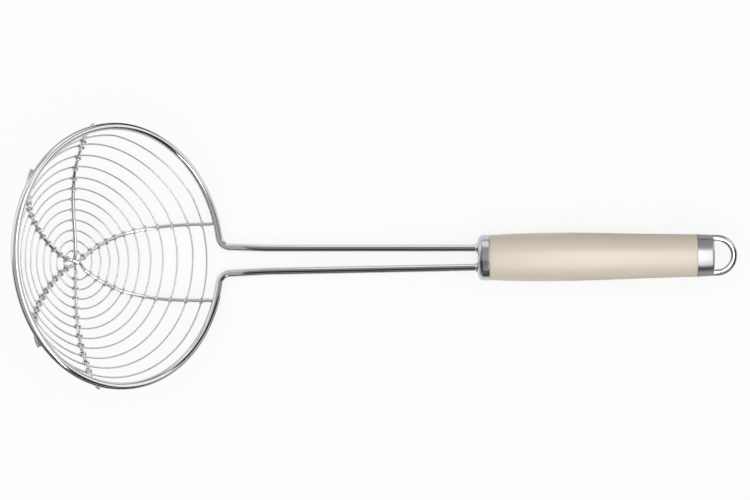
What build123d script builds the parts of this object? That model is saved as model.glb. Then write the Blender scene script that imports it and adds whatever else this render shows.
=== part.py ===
from build123d import *
import os
from math import asin, atan2, cos, degrees, floor, hypot, pi, radians, sin, sqrt

# Spider skimmer: a tilted wire basket, wound on six rib arms, on a bent wire frame
# with a barrelled grip. Millimetres. The tool lies at rest on its basket and its grip,
# with the handle along +X, and the origin under the middle of its box, on the surface.

# Wires
frame_wire_diameter = 4.0
rib_wire_diameter = 2.0
spiral_wire_diameter = 0.9
wire_clearance = 0.1
spiral_tube_sides = 5
straight_share = 1e-5
circle_degrees = 360.0

# Rim and legs of the frame wire
rim_radius = 68.0
rim_angle = 45.8
rim_to_bend = 5.78
bend_half_spacing = 7.3
bend_radius = 6.0
knee_distance = 25.0
knee_half_spacing = 6.25
knee_radius = 60.0
bend_to_ferrule = 138.5
ferrule_half_spacing = 5.15

# Basket: a bowl hung from the rim, deepest at the hub where the ribs cross
basket_depth = 36.2
hub_along = -1.5
hub_across = -2.1
basket_lean = 1.5
rib_contact_angle = 42.0
rib_tail_angle = -48.0

# Profile of the bowl from hub to rim: shares of the reach, of the rise and of its slope
profile_reach_shares = (0.0, 0.38, 0.70, 1.0)
profile_rise_shares = (0.0, 0.098, 0.365, 1.0)
profile_slope_shares = (0.0, 0.287, 1.285, 2.3)

# Rib arms: degrees about the hub at the rim and at the hub, and the bow between them
back_side_degrees = (107.9, 98.9, 8.2)
front_side_degrees = (-105.9, -102.6, -27.6)
near_back_degrees = (18.6, 41.4, 2.8)
near_front_degrees = (-17.1, -37.7, -2.1)
far_back_degrees = (151.3, 171.9, 37.1)
far_front_degrees = (-146.7, -163.3, -35.9)
rib_station_shares = (0.045, 0.085, 0.12, 0.17, 0.27, 0.38, 0.50, 0.61, 0.72, 0.82, 0.90, 0.965)
hub_straight_share = 0.17
tail_station_shares = (0.3, 0.45, 0.6, 0.8, 1.0)
hub_hump_radius = 6.0

# How far a rib end runs along the rim, towards the handle, before it is cut; the ends
# towards the handle itself butt against the rim
back_side_tail = 8.0
front_side_tail = 8.0
far_back_tail = 13.0
far_front_tail = 11.0

# Spiral wire: turns counted from the back side of the hub, going round by the far end
spiral_turns = 11.1
first_turn_share = 0.0951
turn_pitch_share = 0.0809
late_turn = 10.0
late_turn_share = 0.0045
spiral_start_degrees = 90.0
spiral_edge_share = 0.955
stations_per_turn = 8
outline_points_per_turn = 90
tangent_step = 0.003

# Sway of the spiral's turns on the back side: share, and degrees at which it starts
sway_share = 0.045
sway_start_degrees = 15.0

# Halvings of the slope's range in the search for the rest
rest_search_steps = 40

# Front ferrule and the collars on the legs
ferrule_length = 6.5
ferrule_dome_length = 2.1
ferrule_face_radius = 9.05
ferrule_radius = 12.3
ferrule_face_thickness = 2.4
ferrule_skirt = 1.3
leg_clearance = 0.15
collar_length = 1.3
collar_base_radius = 3.1
collar_tip_radius = 2.4

# Handle core: head that takes the legs, and rod through the grip
core_head_radius = 8.5
core_head_length = 14.0
leg_socket_depth = 10.0
core_rod_diameter = 8.0
core_head_fillet = 0.6
core_clearance = 0.1

# Grip
grip_length = 110.7
grip_front_radius = 12.1
grip_widest_radius = 13.0
grip_widest_distance = 32.8
grip_middle_radius = 12.55
grip_middle_distance = 62.0
grip_rear_radius = 11.35
grip_edge_fillet = 0.5
spigot_clearance = 0.1
rear_spigot_radius = 8.8
rear_spigot_length = 3.0

# End cap and its hanging loop
cap_length = 8.8
cap_front_radius = 11.4
cap_rear_radius = 11.0
cap_socket_depth = 6.0
loop_reach = 12.7
loop_half_width = 10.95
loop_band = 3.45
loop_thickness = 5.0
loop_edge_fillet = 1.5
loop_web = 0.5
cut_overrun = 1.0

# Places along the handle, from the line where the legs bend up into the rim
ferrule_start = bend_to_ferrule
grip_start = ferrule_start + ferrule_length
grip_end = grip_start + grip_length
cap_end = grip_end + cap_length
loop_end = cap_end + loop_reach

frame_wire_radius = frame_wire_diameter / 2
rib_wire_radius = rib_wire_diameter / 2
spiral_wire_radius = spiral_wire_diameter / 2

# The rim's curve ends this angle from its middle line, and its centre lies this far from
# the line of the bends
rim_opening = asin(bend_half_spacing / hypot(rim_radius, rim_to_bend)) + atan2(rim_to_bend, rim_radius)
rim_reach = rim_radius * cos(rim_opening) + rim_to_bend * sin(rim_opening)

# A rib's centre line ends beside the rim's, on its inner lower side
seat_distance = frame_wire_radius + rib_wire_radius + wire_clearance
basket_radius = rim_radius - seat_distance * cos(radians(rib_contact_angle))
basket_edge = -seat_distance * sin(radians(rib_contact_angle))
basket_rise = basket_depth + basket_edge
spiral_offset = rib_wire_radius + spiral_wire_radius + wire_clearance
rib_stacking = rib_wire_diameter + wire_clearance


def profile(share):
    """Rise and slope of the bowl, as shares, at a share of the way from hub to rim."""
    last = len(profile_reach_shares) - 2
    span = max(i for i in range(last + 1) if i == 0 or share >= profile_reach_shares[i])
    start, end = profile_reach_shares[span : span + 2]
    low, high = profile_rise_shares[span : span + 2]
    slope_in, slope_out = profile_slope_shares[span : span + 2]
    width = end - start
    t = (share - start) / width
    lead, trail = slope_in * width, slope_out * width
    square = 3 * (high - low) - 2 * lead - trail
    cube = lead + trail - 2 * (high - low)
    rise = low + lead * t + square * t**2 + cube * t**3
    slope = (lead + 2 * square * t + 3 * cube * t**2) / width
    return rise, slope


def basket_point(share, azimuth, outward=0.0):
    """A place on the bowl in the rim's own frame, or that far outside it."""
    c, s = cos(radians(azimuth)), sin(radians(azimuth))
    towards = hub_along * c + hub_across * s
    reach = -towards + sqrt(towards**2 + basket_radius**2 - hub_along**2 - hub_across**2)
    rise, slope = profile(share)
    lean = 4 * basket_lean * share**2 * (1 - share) * c
    lean_slope = 4 * basket_lean * share * (2 - 3 * share) * c
    gradient = (basket_rise * slope - lean_slope) / reach
    level = sqrt(1 + gradient**2)
    distance = share * reach + outward * gradient / level
    height = basket_rise * rise - basket_depth - lean - outward / level
    return Vector(hub_along + distance * c, hub_across + distance * s, height)


def arm_azimuth(arm, share):
    at_rim, at_hub, bow = arm
    return at_rim + (at_hub - at_rim) * (1 - share) - bow * share * (1 - share)


def spiral_point(turn):
    """A place on the spiral's centre line, in the rim's frame."""
    late = max(0.0, turn - late_turn)
    share = first_turn_share + turn_pitch_share * turn - late_turn_share * late**2
    azimuth = spiral_start_degrees + circle_degrees * turn
    sway = sin(radians(2 * (azimuth - sway_start_degrees))) * max(0.0, sin(radians(azimuth)))
    share = min(share * (1 - sway_share * sway), spiral_edge_share)
    return basket_point(share, azimuth, spiral_offset)


def handle_from_rim(point):
    """From the rim's frame to the handle's: x along it from the bends, z up."""
    c, s = cos(radians(rim_angle)), sin(radians(rim_angle))
    x = (point.X - rim_reach) * c + point.Z * s
    z = (rim_reach - point.X) * s + point.Z * c
    return Vector(x, point.Y, z)


# Rest: the handle's slope at which the basket and the grip both touch the surface
outline_count = floor(outline_points_per_turn * spiral_turns)
spiral_outline = [spiral_point(i / outline_points_per_turn) for i in range(outline_count)]
basket_outline = [handle_from_rim(point) for point in spiral_outline]
grip_bottom = Vector(grip_start + grip_widest_distance, 0, -grip_widest_radius)


def height_at(point, slope):
    return point.X * sin(slope) + point.Z * cos(slope)


def basket_bottom(slope):
    return min(height_at(point, slope) for point in basket_outline) - spiral_wire_radius


low_slope, high_slope = 0.0, pi / 4
for _ in range(rest_search_steps):
    rest_slope = (low_slope + high_slope) / 2
    if basket_bottom(rest_slope) > height_at(grip_bottom, rest_slope):
        low_slope = rest_slope
    else:
        high_slope = rest_slope

rim_slope = radians(rim_angle) - rest_slope
rim_centre = handle_from_rim(Vector(0, 0, 0))


def level_distance(point):
    return point.X * cos(rest_slope) - point.Z * sin(rest_slope)


rim_far_end = level_distance(rim_centre) - rim_radius * cos(rim_slope) - frame_wire_radius
spiral_far_end = min(level_distance(point) for point in basket_outline) - spiral_wire_radius
far_end = min(rim_far_end, spiral_far_end)
loop_flat = loop_thickness / 2 - loop_edge_fillet
near_end = (loop_end - loop_edge_fillet) * cos(rest_slope) + loop_flat * sin(rest_slope) + loop_edge_fillet
print("rest slope", round(degrees(rest_slope), 2), "length", round(near_end - far_end, 1))

# The handle's frame at rest, and the rim's
along = Vector(cos(rest_slope), 0, sin(rest_slope))
across = Vector(0, 1, 0)
up = Vector(-sin(rest_slope), 0, cos(rest_slope))
start = Vector(-(far_end + near_end) / 2, 0, -basket_bottom(rest_slope))
handle = Plane(origin=start, x_dir=along, z_dir=up)


def at(x, y=0.0, z=0.0):
    return handle.from_local_coords(Vector(x, y, z))


def in_rim(point):
    return handle.from_local_coords(handle_from_rim(point))


def square_to_handle(x):
    return Plane(origin=at(x), x_dir=across, z_dir=along)


lengthwise = Plane(origin=at(0), x_dir=along, z_dir=across * -1)
handle_axis = Axis(at(0), along)
upright_axis = Axis(at(0), up)


def tangents(points):
    """At each point, the direction of the circle through it and its neighbours."""
    found = []
    for before, here, after in zip(points, points[1:], points[2:]):
        arrive, leave = here - before, after - here
        way = arrive.normalized() * leave.length + leave.normalized() * arrive.length
        found.append(way.normalized())
    chord = (points[1] - points[0]).normalized()
    first = chord * (2 * chord.dot(found[0])) - found[0]
    chord = (points[-1] - points[-2]).normalized()
    last = chord * (2 * chord.dot(found[-1])) - found[-1]
    return [first.normalized()] + found + [last.normalized()]


def bend(start_point, way, end_point):
    """An arc that leaves along the given way, or a line where that is straight."""
    if way.cross((end_point - start_point).normalized()).length < straight_share:
        Line(start_point, end_point)
    else:
        TangentArc(start_point, end_point, tangent=way)


def biarcs(points, ways):
    """Two arcs from each point to the next, tangent to each other and at the points."""
    for a, b, way_a, way_b in zip(points, points[1:], ways, ways[1:]):
        chord, both = b - a, way_a + way_b
        turn = 2 * (1 - way_a.dot(way_b))
        length = chord.dot(chord) / (2 * chord.dot(both))
        if turn > straight_share**2:
            length = (sqrt(chord.dot(both) ** 2 + turn * chord.dot(chord)) - chord.dot(both)) / turn
        leave, arrive = a + way_a * length, b - way_b * length
        middle = (leave + arrive) / 2
        bend(a, way_a, middle)
        bend(middle, (arrive - leave).normalized(), b)


def leg_line(side):
    """Points of one leg: its end in the core, its knee and its bend."""
    knee = Vector(knee_distance, side * knee_half_spacing, 0)
    gate = Vector(ferrule_start, side * ferrule_half_spacing, 0)
    way = (gate - knee).normalized()
    end = gate + way * (ferrule_face_thickness + leg_socket_depth)
    return [handle.from_local_coords(p) for p in (end, knee, Vector(0, side * bend_half_spacing, 0))]


def leg_plane(side, distance=0.0):
    """Square to the leg, that far behind the ferrule's face."""
    end, knee, _ = leg_line(side)
    way = (end - knee).normalized()
    depth = ferrule_face_thickness + leg_socket_depth
    return Plane(origin=end - way * (depth - distance), x_dir=across, z_dir=way)


def around_rim(azimuth, distance=0.0, angle=0.0):
    """A place by the rim's centre line: 0 degrees is outwards and -90 is below."""
    radius = rim_radius + distance * cos(radians(angle))
    turn = radians(azimuth)
    return Vector(radius * cos(turn), radius * sin(turn), distance * sin(radians(angle)))


# Frame wire: leg, rim and leg, one bent wire
with BuildPart() as frame_wire:
    with BuildLine() as frame_path:
        rim_gates = [in_rim(around_rim(side * degrees(rim_opening))) for side in (1, -1)]
        halfway = degrees(pi + rim_opening) / 2
        far_point = in_rim(around_rim(180))
        bends = (knee_radius, bend_radius)
        FilletPolyline(*leg_line(1), rim_gates[0], radius=bends)
        ThreePointArc(rim_gates[0], in_rim(around_rim(halfway)), far_point)
        ThreePointArc(far_point, in_rim(around_rim(-halfway)), rim_gates[1])
        FilletPolyline(rim_gates[1], *reversed(leg_line(-1)), radius=bends[::-1])
    with BuildSketch(leg_plane(1, ferrule_face_thickness + leg_socket_depth)):
        Circle(frame_wire_radius)
    sweep(path=frame_path.wire())
frame_wire.part.label = "frame_wire"


def rib_point(arm, share, lift):
    """A place on a rib; near the hub it runs straight and is lifted to pass the others."""
    point = basket_point(share, arm_azimuth(arm, max(share, hub_straight_share)))
    distance = sqrt((point.X - hub_along) ** 2 + (point.Y - hub_across) ** 2)
    hump = max(0.0, 1 - (distance / hub_hump_radius) ** 2) ** 2
    return point + Vector(0, 0, lift * hump)


def rib_arm(arm, tail, lift):
    """Points of an arm from beside the hub to its cut end at the rim."""
    points = [rib_point(arm, share, lift) for share in rib_station_shares]
    seat = rib_point(arm, 1.0, lift)
    seat_azimuth = degrees(atan2(seat.Y, seat.X))
    if tail == 0:
        butt_distance = frame_wire_radius + wire_clearance
        return points + [seat, around_rim(seat_azimuth, butt_distance, rib_contact_angle - 180)]
    run = degrees(tail / rim_radius)
    run = -run if seat_azimuth > 0 else run
    swing = rib_tail_angle - (rib_contact_angle - 180)
    for share in tail_station_shares:
        angle = rib_contact_angle - 180 + swing * share
        points.append(around_rim(seat_azimuth + run * share, seat_distance, angle))
    return points


def rib_route(arm, tail, other_arm, other_tail, lift):
    hub = rib_point(arm, 0.0, lift)
    points = rib_arm(arm, tail, lift)[::-1] + [hub] + rib_arm(other_arm, other_tail, lift)
    return [in_rim(point) for point in points]


def sweep_rib(route):
    """Adds a rib to the part that is being built: a round wire along its route."""
    ways = tangents(route)
    with BuildLine(mode=Mode.PRIVATE) as path:
        biarcs(route, ways)
    section = Wire.make_circle(rib_wire_radius, Plane(origin=route[0], z_dir=ways[0]))
    sweep(Face(section), path=path.wire())


# Ribs: three wires that cross at the hub, the cross rib lowest
cross_route = rib_route(back_side_degrees, back_side_tail, front_side_degrees, front_side_tail, -rib_stacking)
with BuildPart() as cross_rib:
    sweep_rib(cross_route)
cross_rib.part.label = "cross_rib"

front_route = rib_route(far_front_degrees, far_front_tail, near_back_degrees, 0, 0)
with BuildPart() as front_long_rib:
    sweep_rib(front_route)
front_long_rib.part.label = "front_long_rib"

back_route = rib_route(far_back_degrees, far_back_tail, near_front_degrees, 0, rib_stacking)
with BuildPart() as back_long_rib:
    sweep_rib(back_route)
back_long_rib.part.label = "back_long_rib"

# Spiral wire: one tube wound outwards under the ribs, two arcs between its stations
station_count = floor(stations_per_turn * spiral_turns)
spiral_turn_marks = [i / stations_per_turn for i in range(station_count + 1)] + [spiral_turns]
spiral_route = [in_rim(spiral_point(turn)) for turn in spiral_turn_marks]
spiral_ways = [
    (in_rim(spiral_point(turn + tangent_step)) - in_rim(spiral_point(turn - tangent_step))).normalized()
    for turn in spiral_turn_marks
]
with BuildPart() as spiral_wire:
    with BuildLine() as spiral_path:
        biarcs(spiral_route, spiral_ways)
    with BuildSketch(Plane(origin=spiral_route[0], z_dir=spiral_ways[0])):
        RegularPolygon(spiral_wire_radius, spiral_tube_sides)
    sweep(path=spiral_path.wire())
spiral_wire.part.label = "spiral_wire"

half_turn = outline_points_per_turn // 2
least = min(
    (a - b).length
    for i, a in enumerate(spiral_outline)
    for b in spiral_outline[i + half_turn : i + 3 * half_turn]
)
print("spiral wire's least gap to itself", round(least - spiral_wire_diameter, 2))

# Front ferrule: domed steel collar with a hole for each leg
with BuildPart() as front_ferrule:
    with BuildSketch(lengthwise):
        with BuildLine():
            Line((ferrule_start, 0), (ferrule_start, ferrule_face_radius))
            dome_foot = (ferrule_start + ferrule_dome_length, ferrule_radius)
            TangentArc(dome_foot, (ferrule_start, ferrule_face_radius), tangent=(-1, 0))
            Line(dome_foot, (grip_start, ferrule_radius))
            Line((grip_start, ferrule_radius), (grip_start, 0))
            Line((grip_start, 0), (ferrule_start, 0))
        make_face()
    revolve(axis=handle_axis)
    with BuildSketch(square_to_handle(grip_start)):
        Circle(ferrule_radius - ferrule_skirt)
    extrude(amount=ferrule_face_thickness - ferrule_length, mode=Mode.SUBTRACT)
    for side in (1, -1):
        with BuildSketch(leg_plane(side, -cut_overrun)):
            Circle(frame_wire_radius + leg_clearance)
        extrude(amount=ferrule_length, mode=Mode.SUBTRACT)
front_ferrule.part.label = "front_ferrule"

# Leg collars: a small cone round each leg, against the ferrule's face
with BuildPart() as leg_collars:
    for side in (1, -1):
        with BuildSketch(leg_plane(side, -wire_clearance)):
            Circle(collar_base_radius)
            Circle(frame_wire_radius + wire_clearance, mode=Mode.SUBTRACT)
        with BuildSketch(leg_plane(side, -wire_clearance - collar_length)):
            Circle(collar_tip_radius)
            Circle(frame_wire_radius + wire_clearance, mode=Mode.SUBTRACT)
        loft()
leg_collars.part.label = "leg_collars"

# Handle core: head with a socket for each leg, and a rod through to the end cap
core_start = ferrule_start + ferrule_face_thickness
core_head_end = core_start + core_head_length
core_end = grip_end + cap_socket_depth - core_clearance
with BuildPart() as handle_core:
    with BuildSketch(square_to_handle(core_start)):
        Circle(core_head_radius)
    extrude(amount=core_head_length)
    fillet(handle_core.edges().filter_by(GeomType.CIRCLE), core_head_fillet)
    with BuildSketch(square_to_handle(core_head_end)):
        Circle(core_rod_diameter / 2)
    extrude(amount=core_end - core_head_end)
    for side in (1, -1):
        with BuildSketch(leg_plane(side)):
            Circle(frame_wire_radius + core_clearance)
        extrude(amount=ferrule_face_thickness + leg_socket_depth + core_clearance, mode=Mode.SUBTRACT)
handle_core.part.label = "handle_core"

# Grip: barrelled, with a spigot at each end and bored for the core
front_spigot_radius = ferrule_radius - ferrule_skirt - spigot_clearance
front_spigot_length = ferrule_length - ferrule_face_thickness - spigot_clearance
with BuildPart() as handle_grip:
    with BuildSketch(lengthwise):
        with BuildLine():
            widest = (grip_start + grip_widest_distance, grip_widest_radius)
            middle = (grip_start + grip_middle_distance, grip_middle_radius)
            Line((grip_start, 0), (grip_start, grip_front_radius))
            TangentArc(widest, (grip_start, grip_front_radius), tangent=(-1, 0))
            barrel = TangentArc(widest, middle, tangent=(1, 0))
            TangentArc(middle, (grip_end, grip_rear_radius), tangent=barrel % 1)
            Line((grip_end, grip_rear_radius), (grip_end, 0))
            Line((grip_end, 0), (grip_start, 0))
        make_face()
    revolve(axis=handle_axis)
    rims = handle_grip.edges().filter_by(GeomType.CIRCLE)
    fillet(rims, grip_edge_fillet)
    with BuildSketch(square_to_handle(grip_start)):
        Circle(front_spigot_radius)
    extrude(amount=-front_spigot_length)
    with BuildSketch(square_to_handle(grip_end)):
        Circle(rear_spigot_radius)
    extrude(amount=rear_spigot_length)
    with BuildSketch(square_to_handle(core_start)):
        Circle(core_head_radius + core_clearance)
    extrude(amount=core_head_length + core_clearance, mode=Mode.SUBTRACT)
    with BuildSketch(square_to_handle(core_start)):
        Circle(core_rod_diameter / 2 + core_clearance)
    extrude(amount=core_end - core_start, mode=Mode.SUBTRACT)
handle_grip.part.label = "handle_grip"

# End cap: a short cone over the grip's spigot, and a loop to hang the tool by
loop_root = grip_end + cap_length / 2
loop_centre = loop_end - loop_half_width
hole_half_width = loop_half_width - loop_band
with BuildPart() as end_cap:
    with BuildSketch(handle.offset(-loop_thickness / 2)):
        with BuildLine():
            Line((loop_root, -loop_half_width), (loop_centre, -loop_half_width))
            ThreePointArc((loop_centre, -loop_half_width), (loop_end, 0), (loop_centre, loop_half_width))
            Line((loop_centre, loop_half_width), (loop_root, loop_half_width))
            Line((loop_root, loop_half_width), (loop_root, -loop_half_width))
        make_face()
        with BuildLine():
            Line((cap_end + loop_web, -hole_half_width), (loop_centre, -hole_half_width))
            hole_end = (loop_centre + hole_half_width, 0)
            ThreePointArc((loop_centre, -hole_half_width), hole_end, (loop_centre, hole_half_width))
            Line((loop_centre, hole_half_width), (cap_end + loop_web, hole_half_width))
            Line((cap_end + loop_web, hole_half_width), (cap_end + loop_web, -hole_half_width))
        make_face(mode=Mode.SUBTRACT)
    extrude(amount=loop_thickness)
    faces = end_cap.faces().filter_by(upright_axis)
    fillet(faces.edges(), loop_edge_fillet)
    with BuildSketch(lengthwise):
        with BuildLine():
            Polyline(
                (grip_end, 0),
                (grip_end, cap_front_radius),
                (cap_end, cap_rear_radius),
                (cap_end, 0),
                (grip_end, 0),
            )
        make_face()
    revolve(axis=handle_axis)
    with BuildSketch(square_to_handle(grip_end)):
        Circle(rear_spigot_radius + spigot_clearance)
    extrude(amount=rear_spigot_length + spigot_clearance, mode=Mode.SUBTRACT)
    with BuildSketch(square_to_handle(grip_end)):
        Circle(core_rod_diameter / 2 + core_clearance)
    extrude(amount=cap_socket_depth, mode=Mode.SUBTRACT)
end_cap.part.label = "end_cap"

os.makedirs("parts", exist_ok=True)
export_step(frame_wire.part, "parts/frame_wire.step")
export_step(cross_rib.part, "parts/cross_rib.step")
export_step(front_long_rib.part, "parts/front_long_rib.step")
export_step(back_long_rib.part, "parts/back_long_rib.step")
export_step(spiral_wire.part, "parts/spiral_wire.step")
export_step(front_ferrule.part, "parts/front_ferrule.step")
export_step(leg_collars.part, "parts/leg_collars.step")
export_step(handle_core.part, "parts/handle_core.step")
export_step(handle_grip.part, "parts/handle_grip.step")
export_step(end_cap.part, "parts/end_cap.step")
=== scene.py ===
import bpy
from math import atan2, ceil, cos, pi, radians, sin, sqrt, tan
from mathutils import Matrix, Vector


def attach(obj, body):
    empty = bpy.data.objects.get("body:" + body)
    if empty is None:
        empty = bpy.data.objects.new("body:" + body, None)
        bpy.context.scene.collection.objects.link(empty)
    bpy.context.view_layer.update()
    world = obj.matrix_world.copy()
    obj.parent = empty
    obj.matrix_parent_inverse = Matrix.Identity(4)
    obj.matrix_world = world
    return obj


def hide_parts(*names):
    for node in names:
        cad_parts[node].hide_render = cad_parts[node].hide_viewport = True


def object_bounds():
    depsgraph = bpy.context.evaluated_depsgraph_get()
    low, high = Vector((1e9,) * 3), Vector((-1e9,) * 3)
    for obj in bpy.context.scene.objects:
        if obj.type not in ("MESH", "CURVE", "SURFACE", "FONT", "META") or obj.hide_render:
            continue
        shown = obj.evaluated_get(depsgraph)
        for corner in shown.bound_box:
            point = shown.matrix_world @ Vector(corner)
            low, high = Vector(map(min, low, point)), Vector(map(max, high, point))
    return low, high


# Spider skimmer, as it looks: smooth wires, the spiral's loops round the ribs, moulded
# grip, satin steel fittings. Metres, in the CAD frame.
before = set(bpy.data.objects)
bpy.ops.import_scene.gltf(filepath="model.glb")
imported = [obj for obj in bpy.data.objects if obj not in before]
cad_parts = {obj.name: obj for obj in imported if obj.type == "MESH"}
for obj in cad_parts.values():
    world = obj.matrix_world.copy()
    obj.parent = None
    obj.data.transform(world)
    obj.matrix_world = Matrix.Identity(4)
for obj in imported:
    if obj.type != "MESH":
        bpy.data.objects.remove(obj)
cad_low, cad_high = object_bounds()

# Where the handle and the rim lie
rest_slope = 2.60098
bend_line = Vector((-0.0876598, 0, 0.0049180))
rim_angle = 45.8
rim_radius = 0.068
rim_to_bend = 0.00578
bend_half_spacing = 0.0073

# Wires
frame_wire_radius = 0.002
rib_wire_radius = 0.0010
spiral_wire_radius = 0.00045
wire_clearance = 0.0001
frame_end_chamfer = 0.0003
rib_end_chamfer = 0.00015
seat_distance = frame_wire_radius + rib_wire_radius + wire_clearance
rib_stacking = 2 * rib_wire_radius + wire_clearance

# Legs
bend_radius = 0.006
knee_distance = 0.025
knee_half_spacing = 0.00625
knee_radius = 0.060
ferrule_start = 0.1385
ferrule_half_spacing = 0.00515
leg_in_handle = 0.008

# Basket
basket_depth = 0.0362
hub_along = -0.0015
hub_across = -0.0021
basket_lean = 0.0015
rib_contact_angle = 42.0
rib_tail_angle = -48.0
profile_reach_shares = (0.0, 0.38, 0.70, 1.0)
profile_rise_shares = (0.0, 0.098, 0.365, 1.0)
profile_slope_shares = (0.0, 0.287, 1.285, 2.3)
rib_station_shares = (0.045, 0.085, 0.12, 0.17, 0.27, 0.38, 0.50, 0.61, 0.72, 0.82, 0.90, 0.965)
tail_station_shares = (0.3, 0.45, 0.6, 0.8, 1.0)
hub_straight_share = 0.17
hub_hump_radius = 0.006

# Rib arms: degrees about the hub at the rim and at the hub, the bow between them, and
# the length that lies along the rim
back_side_arm = (107.9, 98.9, 8.2, 0.008)
front_side_arm = (-105.9, -102.6, -27.6, 0.008)
near_back_arm = (18.6, 41.4, 2.8, 0.0)
near_front_arm = (-17.1, -37.7, -2.1, 0.0)
far_back_arm = (151.3, 171.9, 37.1, 0.013)
far_front_arm = (-146.7, -163.3, -35.9, 0.011)
arms = (back_side_arm, far_back_arm, far_front_arm, front_side_arm, near_front_arm, near_back_arm)

# Spiral wire; where it comes to a rib and leaves it, it is shifted along the rib, and a
# positive shift is towards the rim
spiral_turns = 11.1
first_turn_share = 0.0951
turn_pitch_share = 0.0809
late_turn = 10.0
late_turn_share = 0.0045
spiral_edge_share = 0.955
sway_share = 0.045
sway_start = 15.0
spiral_start = -0.20
loop_in_shift = -0.0004
loop_out_shift = 0.0005
loop_easing = 0.0022
loop_clearance = 0.00002
wrap_radius = rib_wire_radius + spiral_wire_radius + loop_clearance
rib_step_share = 0.01

# Fittings and grip, along the handle from the bend line
ferrule_length = 0.0065
ferrule_radius = 0.0123
ferrule_face_radius = 0.00835
ferrule_dome_length = 0.0030
collar_length = 0.0013
collar_base_radius = 0.0031
collar_tip_radius = 0.0024
collar_edge = 0.0002
grip_start = ferrule_start + ferrule_length
grip_length = 0.1107
grip_front_radius = 0.0121
grip_widest_radius = 0.0130
grip_widest_distance = 0.0328
grip_middle_radius = 0.01255
grip_middle_distance = 0.062
grip_rear_radius = 0.01135
grip_end = grip_start + grip_length
cap_length = 0.0088
cap_front_radius = 0.0114
cap_rear_radius = 0.0110
cap_end = grip_end + cap_length
loop_reach = 0.0127
loop_half_width = 0.01095
loop_band = 0.00345
loop_thickness = 0.0050
loop_edge_radius = 0.0017
edge_radius = 0.0004
cap_edge_radius = 0.0009
grip_edge_radius = 0.0005
loop_root_depth = 0.004
centre_radius = 0.001
grip_bore_radius = 0.008
ferrule_bore_radius = 0.011
support_reach = 0.0004

bend_reach = sqrt(rim_radius**2 + rim_to_bend**2 - bend_half_spacing**2)
rim_opening = atan2(bend_half_spacing, bend_reach) + atan2(rim_to_bend, rim_radius)
rim_reach = rim_radius * cos(rim_opening) + rim_to_bend * sin(rim_opening)
basket_radius = rim_radius - seat_distance * cos(radians(rib_contact_angle))
basket_rise = basket_depth - seat_distance * sin(radians(rib_contact_angle))

# The handle's frame has x along the handle, and the rim's has z out of the bowl
handle = Matrix.Translation(bend_line) @ Matrix.Rotation(radians(-rest_slope), 4, "Y")
rim = handle @ Matrix.Rotation(radians(rim_angle), 4, "Y") @ Matrix.Translation((-rim_reach, 0, 0))


# Shapes

def mesh_object(name, corners, faces, uvs):
    """A smooth mesh that rides on the tool, with its texture places in metres."""
    mesh = bpy.data.meshes.new(name)
    mesh.from_pydata(corners, [], faces)
    layer = mesh.uv_layers.new(name="metres")
    for face, places in zip(mesh.polygons, uvs):
        for loop, place in zip(face.loop_indices, places):
            layer.data[loop].uv = place
    mesh.shade_smooth()
    mesh.set_sharp_from_angle(angle=radians(50))
    piece = bpy.data.objects.new(name, mesh)
    bpy.context.collection.objects.link(piece)
    return piece


def rings(name, loops, ends_closed=True):
    """Joins loops of points, each with the same count, into a skin."""
    count = len(loops[0])
    corners = [point for loop in loops for point in loop]
    faces, uvs = [], []
    along = 0.0
    for i in range(len(loops) - 1):
        step = sum((a - b).length for a, b in zip(loops[i], loops[i + 1])) / count
        round_step = max((loops[i][0] - loops[i][1]).length, (loops[i + 1][0] - loops[i + 1][1]).length)
        for j in range(count):
            k = (j + 1) % count
            faces.append((i * count + j, i * count + k, (i + 1) * count + k, (i + 1) * count + j))
            low, high = j * round_step, (j + 1) * round_step
            uvs.append(((low, along), (high, along), (high, along + step), (low, along + step)))
        along += step
    if ends_closed:
        last = (len(loops) - 1) * count
        faces.append(tuple(reversed(range(count))))
        faces.append(tuple(range(last, last + count)))
        uvs += [[(p.y, p.z) for p in reversed(loops[0])], [(p.y, p.z) for p in loops[-1]]]
    return mesh_object(name, corners, faces, uvs)


def circle(radius, sides):
    return [(radius * cos(2 * pi * i / sides), radius * sin(2 * pi * i / sides)) for i in range(sides)]


def supported(points):
    """Adds a point close to each end of every long span, which keeps its shading flat."""
    found = [points[0]]
    for a, b in zip(points, points[1:]):
        length = (b - a).length
        if length > 4 * support_reach:
            found += [a.lerp(b, support_reach / length), b.lerp(a, support_reach / length)]
        found.append(b)
    return found


def swept(name, points, section, side, chamfer=0.0):
    """A section carried along points without twist; its cut ends can be chamfered."""
    points = supported(points)
    ways = [(b - a).normalized() for a, b in zip(points, points[1:])]
    ways = [ways[0]] + [(a + b).normalized() for a, b in zip(ways, ways[1:])] + [ways[-1]]
    loops = []
    for point, way in zip(points, ways):
        side = (side - way * side.dot(way)).normalized()
        other = way.cross(side)
        loops.append([point + side * u + other * v for u, v in section])
    if chamfer:
        radius = Vector(section[0]).length
        share = 1 - chamfer / radius
        first = [points[0] + (p - points[0]) * share for p in loops[0]]
        last = [points[-1] + (p - points[-1]) * share for p in loops[-1]]
        loops[0] = [p + ways[0] * chamfer for p in loops[0]]
        loops[-1] = [p - ways[-1] * chamfer for p in loops[-1]]
        loops = [first] + loops + [last]
    return rings(name, loops)


def lathed(name, outline, place, sides=96):
    """An outline of (distance along, radius) turned about the x axis of a place."""
    turns = [2 * pi * i / sides for i in range(sides)]
    outline = supported([Vector(pair) for pair in outline])
    loops = [[place @ Vector((x, r * cos(t), r * sin(t))) for t in turns] for x, r in outline]
    return rings(name, loops)


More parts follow.
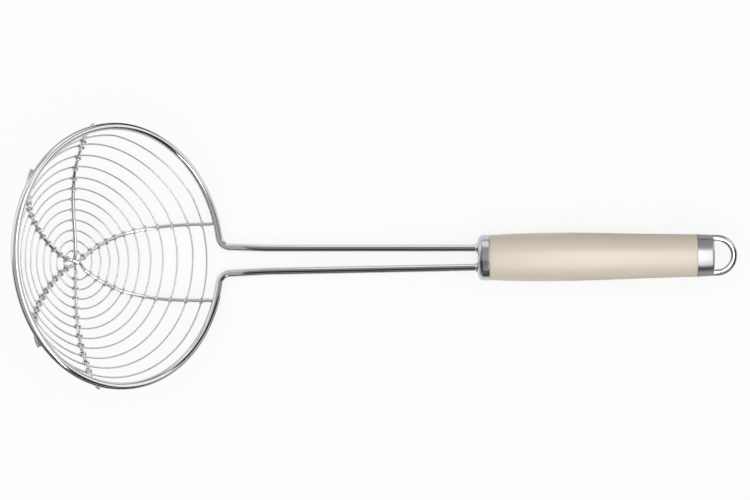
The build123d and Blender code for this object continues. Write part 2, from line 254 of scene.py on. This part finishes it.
def rounded(before, corner, after, radius, steps):
    """Points of the arc that rounds a corner."""
    u, v = (before - corner).normalized(), (after - corner).normalized()
    half = u.angle(v) / 2
    centre = corner + (u + v).normalized() * (radius / sin(half))
    arm = corner + u * (radius / tan(half)) - centre
    axis = u.cross(v)
    return [centre + Matrix.Rotation(-(pi - 2 * half) * i / steps, 3, axis) @ arm for i in range(steps + 1)]


def corner_arc(x, y, radius, first, last, steps=6):
    """Points of a round edge in an outline, between two angles in degrees."""
    angles = [radians(first + (last - first) * i / steps) for i in range(steps + 1)]
    return [(x + radius * cos(a), y + radius * sin(a)) for a in angles]


def spline(points, steps):
    """A smooth curve through points: each span's ends are weighted by its neighbours."""
    padded = [2 * points[0] - points[1]] + points + [2 * points[-1] - points[-2]]
    found = []
    for a, b, c, d in zip(padded, padded[1:], padded[2:], padded[3:]):
        gaps = [(q - p).length for p, q in ((a, b), (b, c), (c, d))]
        leave = ((b - a) / gaps[0] * gaps[1] + (c - b) / gaps[1] * gaps[0]) / (gaps[0] + gaps[1]) * gaps[1]
        arrive = ((c - b) / gaps[1] * gaps[2] + (d - c) / gaps[2] * gaps[1]) / (gaps[1] + gaps[2]) * gaps[1]
        for i in range(steps):
            t = i / steps
            low, high = 1 - 3 * t**2 + 2 * t**3, 3 * t**2 - 2 * t**3
            found.append(b * low + c * high + leave * (t - 2 * t**2 + t**3) + arrive * (t**3 - t**2))
    return found + [points[-1]]


# The bowl

def profile(share):
    """Rise and slope of the bowl, as shares, at a share of the way from hub to rim."""
    spans = range(len(profile_reach_shares) - 1)
    span = max(i for i in spans if i == 0 or share >= profile_reach_shares[i])
    start, end = profile_reach_shares[span : span + 2]
    low, high = profile_rise_shares[span : span + 2]
    slope_in, slope_out = profile_slope_shares[span : span + 2]
    width = end - start
    t = (share - start) / width
    lead, trail = slope_in * width, slope_out * width
    square = 3 * (high - low) - 2 * lead - trail
    cube = lead + trail - 2 * (high - low)
    rise = low + lead * t + square * t**2 + cube * t**3
    slope = (lead + 2 * square * t + 3 * cube * t**2) / width
    return rise, slope


def bowl_point(share, azimuth, outward=0.0):
    """A place on the bowl in the rim's frame, or that far outside it."""
    c, s = cos(radians(azimuth)), sin(radians(azimuth))
    towards = hub_along * c + hub_across * s
    reach = -towards + sqrt(towards**2 + basket_radius**2 - hub_along**2 - hub_across**2)
    rise, slope = profile(share)
    lean = 4 * basket_lean * share**2 * (1 - share) * c
    lean_slope = 4 * basket_lean * share * (2 - 3 * share) * c
    gradient = (basket_rise * slope - lean_slope) / reach
    level = sqrt(1 + gradient**2)
    distance = share * reach + outward * gradient / level
    height = basket_rise * rise - basket_depth - lean - outward / level
    return Vector((hub_along + distance * c, hub_across + distance * s, height))


def arm_azimuth(arm, share):
    at_rim, at_hub, bow, _ = arm
    return at_rim + (at_hub - at_rim) * (1 - share) - bow * share * (1 - share)


def rib_point(arm, share, lift=0.0):
    point = bowl_point(share, arm_azimuth(arm, max(share, hub_straight_share)))
    distance = (point.xy - Vector((hub_along, hub_across))).length
    hump = max(0.0, 1 - (distance / hub_hump_radius) ** 2) ** 2
    return point + Vector((0, 0, lift * hump))


def rim_middle(azimuth):
    return Vector((rim_radius * cos(azimuth), rim_radius * sin(azimuth), 0))


def beside_rim(azimuth, angle):
    """A rib's place along the rim: 0 degrees is outside the rim and -90 is below it."""
    radius = rim_radius + seat_distance * cos(radians(angle))
    return Vector((radius * cos(azimuth), radius * sin(azimuth), seat_distance * sin(radians(angle))))


def rib_arm(arm, lift):
    """Points of an arm from beside the hub to its cut end at the rim."""
    points = [rib_point(arm, share, lift) for share in rib_station_shares]
    seat = rib_point(arm, 1.0, lift)
    azimuth = atan2(seat.y, seat.x)
    run = arm[3] / rim_radius * (-1 if azimuth > 0 else 1)
    swing = rib_tail_angle - (rib_contact_angle - 180)
    if not run:
        below_rim = beside_rim(azimuth, rib_contact_angle - 180) - rim_middle(azimuth)
        butt_share = (frame_wire_radius + wire_clearance) / seat_distance
        return points + [seat, rim_middle(azimuth) + below_rim * butt_share]
    for share in tail_station_shares:
        points.append(beside_rim(azimuth + run * share, rib_contact_angle - 180 + swing * share))
    return points


def rib(name, arm, other_arm, lift):
    route = rib_arm(arm, lift)[::-1] + [rib_point(arm, 0.0, lift)] + rib_arm(other_arm, lift)
    points = spline([rim @ point for point in route], 12)
    return swept(name, points, circle(rib_wire_radius, 20), Vector((0, 0, 1)), rib_end_chamfer)


def spiral_share(turn):
    """How far out the spiral is: it grows by the turn and sways on the back side."""
    share = first_turn_share + turn_pitch_share * turn - late_turn_share * max(0.0, turn - late_turn) ** 2
    azimuth = radians(90 + 360 * turn)
    sway = sin(2 * (azimuth - radians(sway_start))) * max(0.0, sin(azimuth))
    return min(share * (1 - sway_share * sway), spiral_edge_share)


def spiral_point(turn):
    return bowl_point(spiral_share(turn), 90 + 360 * turn, wrap_radius)


def crossing(arm, turn):
    """The exact turn, near the given one, at which the spiral passes under an arm."""
    for _ in range(8):
        off = arm_azimuth(arm, spiral_share(turn)) - 90 - 360 * turn
        turn += ((off + 180) % 360 - 180) / 360
    return turn


def loop_crossover(part):
    """A loop lies over the strand that leaves, crosses on top of the rib, then lies over
    the strand that comes in: 0 is the line of that one and 1 the line of the other."""
    marks = ((0.0, 0.0), (0.125, 0.0), (0.25, 1.0), (0.75, 0.0), (0.875, 1.0), (1.0, 1.0))
    for (start, low), (end, high) in zip(marks, marks[1:]):
        if part <= end:
            return low + (high - low) * (part - start) / (end - start)


def wrap(arm, turn):
    """One tight loop of the spiral wire round a rib, from its hub side to its rim side."""
    share = spiral_share(turn)
    azimuth = arm_azimuth(arm, share)
    centre = bowl_point(share, azimuth)
    below = (bowl_point(share, azimuth, wrap_radius) - centre).normalized()
    way = (rib_point(arm, share + rib_step_share) - rib_point(arm, share - rib_step_share)).normalized()
    side = way.cross(below)
    if side.dot(spiral_point(turn + 0.01) - spiral_point(turn)) < 0:
        side = -side
    steps = 24
    found = []
    for i in range(steps + 1):
        angle = pi / 2 - 2 * pi * i / steps
        shift = loop_in_shift + (loop_out_shift - loop_in_shift) * loop_crossover(i / steps)
        found.append(centre + (side * cos(angle) + below * sin(angle)) * wrap_radius + way * shift)
    return found, way


def spiral_route():
    """The spiral wire's centre line, from beside the hub to the rim, loops included."""
    marks = []
    for arm in arms:
        for whole in range(-1, ceil(spiral_turns)):
            turn = crossing(arm, whole + ((arm[0] - 90) % 360) / 360)
            if spiral_start < turn < spiral_turns:
                marks.append((turn, arm))
    marks.sort(key=lambda mark: mark[0])
    loops = [wrap(arm, turn) for turn, arm in marks]
    places = [spiral_point(turn) for turn, _ in marks]
    points = []
    steps = ceil(spiral_turns * 360)
    passed = 0
    for i in range(steps + 1):
        turn = spiral_start + (spiral_turns - spiral_start) * i / steps
        while passed < len(marks) and marks[passed][0] <= turn:
            points += loops[passed][0]
            passed += 1
        point = spiral_point(turn)
        shift = Vector()
        if passed < len(marks):
            left = max(0.0, 1 - (places[passed] - point).length / loop_easing)
            shift += loops[passed][1] * loop_in_shift * left**2 * (3 - 2 * left)
        if passed:
            left = max(0.0, 1 - (point - places[passed - 1]).length / loop_easing)
            shift += loops[passed - 1][1] * loop_out_shift * left**2 * (3 - 2 * left)
        points.append(point + shift)
    return points


# Frame wire: leg, bend, rim, bend, leg
legs = []
for side in (1, -1):
    knee = Vector((knee_distance, side * knee_half_spacing, 0))
    mouth = Vector((ferrule_start, side * ferrule_half_spacing, 0))
    end = mouth + (mouth - knee).normalized() * leg_in_handle
    corner = Vector((0, side * bend_half_spacing, 0))
    end, knee, corner = [handle @ p for p in (end, knee, corner)]
    gate = rim @ (Matrix.Rotation(side * rim_opening, 3, "Z") @ Vector((rim_radius, 0, 0)))
    wide_bend = rounded(end, knee, corner, knee_radius, 10)
    legs.append([end] + wide_bend + rounded(knee, corner, gate, bend_radius, 24))
rim_steps = 360
rim_turns = [rim_opening + (2 * pi - 2 * rim_opening) * i / rim_steps for i in range(rim_steps + 1)]
rim_points = [rim @ Vector((rim_radius * cos(t), rim_radius * sin(t), 0)) for t in rim_turns]
frame_points = legs[0] + rim_points + legs[1][::-1]
frame_section = circle(frame_wire_radius, 32)
frame_wire = swept("frame_wire_tube", frame_points, frame_section, Vector((0, 0, 1)), frame_end_chamfer)

# Ribs, the cross rib lowest at the hub
cross_rib = rib("cross_rib_wire", back_side_arm, front_side_arm, -rib_stacking)
front_long_rib = rib("front_long_rib_wire", far_front_arm, near_back_arm, 0.0)
back_long_rib = rib("back_long_rib_wire", far_back_arm, near_front_arm, rib_stacking)

# Spiral wire
spiral_points = [rim @ point for point in spiral_route()]
spiral_wire = swept("spiral_wire_net", spiral_points, circle(spiral_wire_radius, 10), Vector((0, 0, 1)))

# Ferrule: flat face, round shoulder, rolled rear edge
dome_height = ferrule_radius - ferrule_face_radius
dome = [(ferrule_start + ferrule_dome_length * (1 - cos(a)), ferrule_face_radius + dome_height * sin(a))
        for a in [pi / 2 * i / 12 for i in range(13)]]
rear = corner_arc(grip_start - edge_radius, ferrule_radius - edge_radius, edge_radius, 90, 0)
outline = [(ferrule_start, centre_radius)] + dome + rear + [(grip_start, ferrule_bore_radius)]
ferrule = lathed("ferrule_shell", outline, handle)

# Collars round the legs
collar_places = []
for leg in legs:
    way = (leg[0] - leg[1]).normalized()
    place = (way.to_track_quat("X", "Z")).to_matrix().to_4x4()
    place.translation = leg[0] - way * leg_in_handle
    collar_places.append(place)
collar_outline = [(-collar_length, frame_wire_radius), (-collar_length, collar_tip_radius - collar_edge)]
collar_outline += [(-collar_length + collar_edge, collar_tip_radius), (-wire_clearance, collar_base_radius)]
collar_outline += [(-wire_clearance, frame_wire_radius)]
collars = [lathed(f"leg_collar_{i}", collar_outline, place, 32) for i, place in enumerate(collar_places)]

# Grip
middle_span = grip_middle_distance - grip_widest_distance
middle_slope = -2 * (grip_widest_radius - grip_middle_radius) / middle_span
rear_span = grip_length - grip_middle_distance
rear_curve = (grip_rear_radius - grip_middle_radius - middle_slope * rear_span) / rear_span**2


def grip_radius(x):
    """The barrel's radius: three curves that meet smoothly, at its widest and behind it."""
    if x < grip_widest_distance:
        share = 1 - x / grip_widest_distance
        return grip_widest_radius - (grip_widest_radius - grip_front_radius) * share**2
    if x < grip_middle_distance:
        share = (x - grip_widest_distance) / middle_span
        return grip_widest_radius - (grip_widest_radius - grip_middle_radius) * share**2
    past = x - grip_middle_distance
    return grip_middle_radius + middle_slope * past + rear_curve * past**2


grip_steps = 90
edge = grip_edge_radius
outline = [(grip_start, grip_bore_radius)]
outline += corner_arc(grip_start + edge, grip_front_radius - edge, edge, 180, 90)
for i in range(1, grip_steps):
    x = grip_length * i / grip_steps
    outline.append((grip_start + x, grip_radius(x)))
outline += corner_arc(grip_end - edge, grip_rear_radius - edge, edge, 90, 0)
outline += [(grip_end, grip_bore_radius)]
grip = lathed("grip_shell", outline, handle, 128)

# End cap, with the loop that runs out of it and back
edge = cap_edge_radius
outline = [(grip_end, grip_bore_radius), (grip_end, cap_front_radius)]
outline += corner_arc(cap_end - edge, cap_rear_radius - edge, edge, 90, 0)
outline += [(cap_end, centre_radius)]
cap = lathed("cap_shell", outline, handle)
loop_middle = loop_half_width - loop_band / 2
loop_centre = cap_end + loop_reach - loop_half_width
half_band = loop_band / 2 - loop_edge_radius
half_height = loop_thickness / 2 - loop_edge_radius
loop_section = corner_arc(half_band, half_height, loop_edge_radius, 0, 90)
loop_section += corner_arc(-half_band, half_height, loop_edge_radius, 90, 180)
loop_section += corner_arc(-half_band, -half_height, loop_edge_radius, 180, 270)
loop_section += corner_arc(half_band, -half_height, loop_edge_radius, 270, 360)
loop_turns = [pi * i / 48 for i in range(49)]
loop_points = [Vector((cap_end - loop_root_depth, loop_middle, 0))]
loop_points += [Vector((loop_centre + loop_middle * sin(t), loop_middle * cos(t), 0)) for t in loop_turns]
loop_points += [Vector((cap_end - loop_root_depth, -loop_middle, 0))]
loop_points = [handle @ p for p in loop_points]
hanging_loop = swept("hanging_loop", loop_points, loop_section, Vector((0, 1, 0)))


# Materials

def colour(hex_code):
    """A colour given as it looks on a screen, in the linear values that Blender uses."""
    parts = [int(hex_code[i : i + 2], 16) / 255 for i in (1, 3, 5)]
    return [p / 12.92 if p <= 0.04045 else ((p + 0.055) / 1.055) ** 2.4 for p in parts] + [1.0]


def add(tree, kind, settings=None, **inputs):
    """Adds a node; an input is a value, or the output of another node."""
    made = tree.nodes.new("ShaderNode" + kind)
    for name, value in (settings or {}).items():
        setattr(made, name, value)
    for name, value in inputs.items():
        socket = made.inputs[int(name[1:])] if name[1:].isdigit() else made.inputs[name.replace("_", " ")]
        if isinstance(value, bpy.types.NodeSocket):
            tree.links.new(value, socket)
        else:
            socket.default_value = value
    return made


def material(name, base, metallic, roughness, grain_round, grain_along, roughness_range, relief):
    """A finish with grain: its size round and along the piece, and its relief, in metres."""
    made = bpy.data.materials.new(name)
    made.use_nodes = True
    tree = made.node_tree
    shader = tree.nodes["Principled BSDF"]
    shader.inputs["Base Color"].default_value = colour(base)
    shader.inputs["Metallic"].default_value = metallic
    places = add(tree, "UVMap", {"uv_map": "metres"}).outputs["UV"]
    scale = (1 / grain_round, 1 / grain_along, 1)
    scaled = add(tree, "Mapping", Vector=places, Scale=scale).outputs["Vector"]
    grain = add(tree, "TexNoise", Vector=scaled, Scale=1.0, Detail=3.0).outputs["Fac"]
    low, high = roughness - roughness_range, roughness + roughness_range
    rough = add(tree, "MapRange", Value=grain, To_Min=low, To_Max=high).outputs["Result"]
    bump = add(tree, "Bump", Height=grain, Distance=relief, Strength=1.0).outputs["Normal"]
    tree.links.new(rough, shader.inputs["Roughness"])
    tree.links.new(bump, shader.inputs["Normal"])
    return made


# Drawn and polished stainless steel wire: bright, with faint lines along it
polished_wire = material("polished_stainless_wire", "#D4D3D1", 1.0, 0.10, 0.0006, 0.04, 0.03, 0.0000006)
# Fine stainless steel wire of the spiral, a little duller than the ribs
fine_wire = material("drawn_stainless_wire", "#D6D6D6", 1.0, 0.30, 0.0004, 0.02, 0.04, 0.0000008)
# Turned stainless steel: fine lines round the ferrule and the cap
satin_steel = material("satin_turned_steel", "#C6C7CA", 1.0, 0.24, 0.02, 0.0003, 0.06, 0.000003)
# Cast and polished stainless steel of the hanging loop
polished_steel = material("polished_stainless_steel", "#D0D0D0", 1.0, 0.12, 0.002, 0.002, 0.03, 0.000001)
# Moulded plastic with a satin skin
cream_plastic = material("cream_moulded_plastic", "#D8CCBB", 0.0, 0.38, 0.0006, 0.0006, 0.03, 0.000004)

finishes = (
    (frame_wire, "frame_wire", "polished_wire", polished_wire),
    (cross_rib, "cross_rib", "polished_wire", polished_wire),
    (front_long_rib, "front_long_rib", "polished_wire", polished_wire),
    (back_long_rib, "back_long_rib", "polished_wire", polished_wire),
    (spiral_wire, "spiral_wire", "polished_wire", fine_wire),
    (ferrule, "front_ferrule", "satin_steel", satin_steel),
    (collars[0], "leg_collars", "satin_steel", polished_steel),
    (collars[1], "leg_collars", "satin_steel", polished_steel),
    (grip, "handle_grip", "cream_plastic", cream_plastic),
    (cap, "end_cap", "satin_steel", satin_steel),
    (hanging_loop, "end_cap", "satin_steel", polished_steel),
)
for piece, node_name, slot_name, finish in finishes:
    piece.data.materials.append(finish)
    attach(piece, "root")
    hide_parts(node_name)
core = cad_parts["handle_core"]
core.data.materials.clear()
core.data.materials.append(satin_steel)


# Floor and cards

def panel(name, centre, facing, width, height):
    """A flat board with its width along X, square to the way to a point."""
    normal = (Vector(facing) - Vector(centre)).normalized()
    side = (Vector((1, 0, 0)) - normal * normal.x).normalized() * width / 2
    rise = normal.cross(side).normalized() * height / 2
    mesh = bpy.data.meshes.new(name)
    corners = [Vector(centre) + side * u + rise * v for u, v in ((-1, -1), (1, -1), (1, 1), (-1, 1))]
    mesh.from_pydata(corners, [], [(0, 1, 2, 3)])
    board = bpy.data.objects.new(name, mesh)
    bpy.context.collection.objects.link(board)
    return board


def board_paint(name, base, background_share):
    """Matt paint, of which a share shows as even background."""
    made = bpy.data.materials.new(name)
    made.use_nodes = True
    tree = made.node_tree
    shader = tree.nodes["Principled BSDF"]
    shader.inputs["Base Color"].default_value = colour(base)
    shader.inputs["Roughness"].default_value = 1.0
    shader.inputs["Specular IOR Level"].default_value = 0.0
    if background_share:
        path = add(tree, "LightPath").outputs
        larger = {"operation": "MAXIMUM"}
        seen = add(tree, "Math", larger, _0=path["Is Camera Ray"], _1=path["Is Glossy Ray"])
        seen = add(tree, "Math", larger, _0=seen.outputs[0], _1=path["Is Transmission Ray"])
        share = add(tree, "Math", {"operation": "MULTIPLY"}, _0=seen.outputs[0], _1=background_share)
        even = add(tree, "Emission", Color=colour("#FFFFFF"), Strength=1.0)
        mixed = add(tree, "MixShader", _0=share.outputs[0], _1=shader.outputs[0], _2=even.outputs[0])
        tree.links.new(mixed.outputs[0], tree.nodes["Material Output"].inputs["Surface"])
    return made


def card(name, centre, facing, width, height, level):
    """A board that the camera doesn't see, and that only metal and gloss reflect."""
    board = panel(name, centre, facing, width, height)
    made = bpy.data.materials.new(name + "_cloth")
    made.use_nodes = True
    glow = add(made.node_tree, "Emission", Color=colour("#FFFFFF"), Strength=level)
    made.node_tree.links.new(glow.outputs[0], made.node_tree.nodes["Material Output"].inputs["Surface"])
    board.data.materials.append(made)
    board.visible_camera = False
    board.visible_diffuse = False
    board.visible_shadow = False


# Floor: white, under the tool's lowest point, and it keeps the tool's shadow
floor_width = 8
floor = panel("floor", (0, 0, cad_low[2]), (0, 0, 1), floor_width, floor_width)
floor.data.materials.append(board_paint("matt_white_board", "#F4F4F4", 0.82))

# Mats that lie just above the floor: place of the centre, width, depth and brightness.
# Metal reflects them as dark and grey bands.
mat_height = 0.001
mats = (
    ("back_mat", 0.39, 0.66, 1.02, 1.08, 0.02),
    ("back_left_mat", -0.51, 0.725, 0.78, 0.95, 0.02),
    ("back_grey_mat", 0.20, 0.066, 0.20, 0.108, 0.45),
    ("front_mat", 0.16, -0.425, 2.08, 0.55, 0.02),
    ("front_near_mat", 0.068, -0.0975, 0.064, 0.105, 0.02),
    ("front_left_grey_mat", -0.032, -0.085, 0.136, 0.13, 0.45),
    ("front_grey_mat", 0.20, -0.081, 0.20, 0.138, 0.45),
)
for name, x, y, width, depth, brightness in mats:
    card(name, (x, y, mat_height), (x, y, 1), width, depth, brightness)

# Flags over the legs, beyond the rim and behind the hanging loop
card("leg_grey_flag", (-0.0095, 0.011, 0.042), (-0.0095, 0.011, 0), 0.141, 0.038, 0.30)
card("leg_black_flag", (-0.0095, -0.029, 0.042), (-0.0095, -0.029, 0), 0.141, 0.042, 0.03)
card("rim_black_flag", (-0.275, 0.50, 0.265), (-0.185, 0.048, 0.08), 0.35, 0.13, 0.02)
card("rear_black_flag", (0.235, 0.0, 0.045), (0.175, 0.0, -0.015), 0.07, 0.05, 0.02)

# Bright card above the handle and in front of it, and a dim one behind its rear end
card("right_card", (0.125, -0.295, 0.35), (0.125, -0.295, 0), 0.134, 0.91, 5.5)
card("right_back_card", (0.23, 0.34, 0.17), (0.23, 0, 0.01), 0.30, 0.38, 0.36)

# World: white to the camera. Matt things get a soft light from above, a little from the
# front. Metal sees a room that is bright behind, dark in front and mid grey overhead,
# and the grey comes lower in front.
back_way = (0.1, 1.0, 0.0)
front_limit, back_limit = -0.25, -0.05
front_level, back_level, overhead_level = 0.03, 1.3, 0.55
overhead_from, overhead_to = 0.62, 0.80
front_overhead_drop = 0.26
soft_way = (0.05, -0.17, 0.984)
soft_level, soft_least, soft_focus = 2.3, 0.05, 3.0


def ramp(tree, value, start, end, low, high):
    """A value that goes from low to high while the given one goes from start to end."""
    ends = {"From_Min": start, "From_Max": end, "To_Min": low, "To_Max": high}
    return add(tree, "MapRange", Value=value, **ends).outputs["Result"]


def figure(tree, operation, *values):
    """The result of one sum on values or outputs."""
    inputs = {f"_{i}": value for i, value in enumerate(values)}
    return add(tree, "Math", {"operation": operation}, **inputs).outputs[0]


world = bpy.data.worlds.new("studio")
bpy.context.scene.world = world
world.use_nodes = True
tree = world.node_tree
path = add(tree, "LightPath").outputs
incoming = add(tree, "NewGeometry").outputs["Incoming"]
way = add(tree, "VectorMath", {"operation": "SCALE"}, _0=incoming, Scale=-1.0).outputs[0]
height = add(tree, "SeparateXYZ", Vector=way).outputs["Z"]
towards = {"operation": "DOT_PRODUCT"}
side = add(tree, "VectorMath", towards, _0=way, _1=back_way).outputs["Value"]
room = ramp(tree, side, front_limit, back_limit, front_level, back_level)
drop = ramp(tree, side, front_limit, back_limit, front_overhead_drop, 0.0)
lifted = figure(tree, "ADD", height, drop)
room = ramp(tree, lifted, overhead_from, overhead_to, room, overhead_level)
above = add(tree, "VectorMath", towards, _0=way, _1=soft_way).outputs["Value"]
above = figure(tree, "MAXIMUM", above, 0.0)
soft = figure(tree, "POWER", above, soft_focus)
soft = figure(tree, "MULTIPLY_ADD", soft, soft_level, soft_least)
level = ramp(tree, path["Is Diffuse Ray"], 0.0, 1.0, room, soft)
level = ramp(tree, path["Is Camera Ray"], 0.0, 1.0, level, 1.0)
tree.links.new(level, tree.nodes["Background"].inputs["Strength"])
tree.nodes["Background"].inputs["Color"].default_value = colour("#FFFFFF")

# Camera, as in the photograph: almost straight above
camera_tilt = radians(3.44)
camera_turn = radians(0.43)
camera_target = Vector((-0.00437, 0.00463, 0.00997))
camera_distance = 1.5153
turn_cos, turn_sin = cos(camera_turn), sin(camera_turn)
tilt_cos, tilt_sin = cos(camera_tilt), sin(camera_tilt)
right = Vector((turn_cos, -turn_sin * tilt_cos, -turn_sin * tilt_sin))
upward = Vector((turn_sin, turn_cos * tilt_cos, turn_cos * tilt_sin))
back = right.cross(upward)
camera_place = Matrix((right, upward, back)).transposed().to_4x4()
camera_place.translation = camera_target + back * camera_distance
camera = bpy.data.objects.new("camera", bpy.data.cameras.new("camera"))
bpy.context.collection.objects.link(camera)
camera.matrix_world = camera_place
camera.data.lens = 135.36
camera.data.sensor_width = 36
bpy.context.scene.camera = camera
bpy.context.scene.view_settings.view_transform = "Standard"
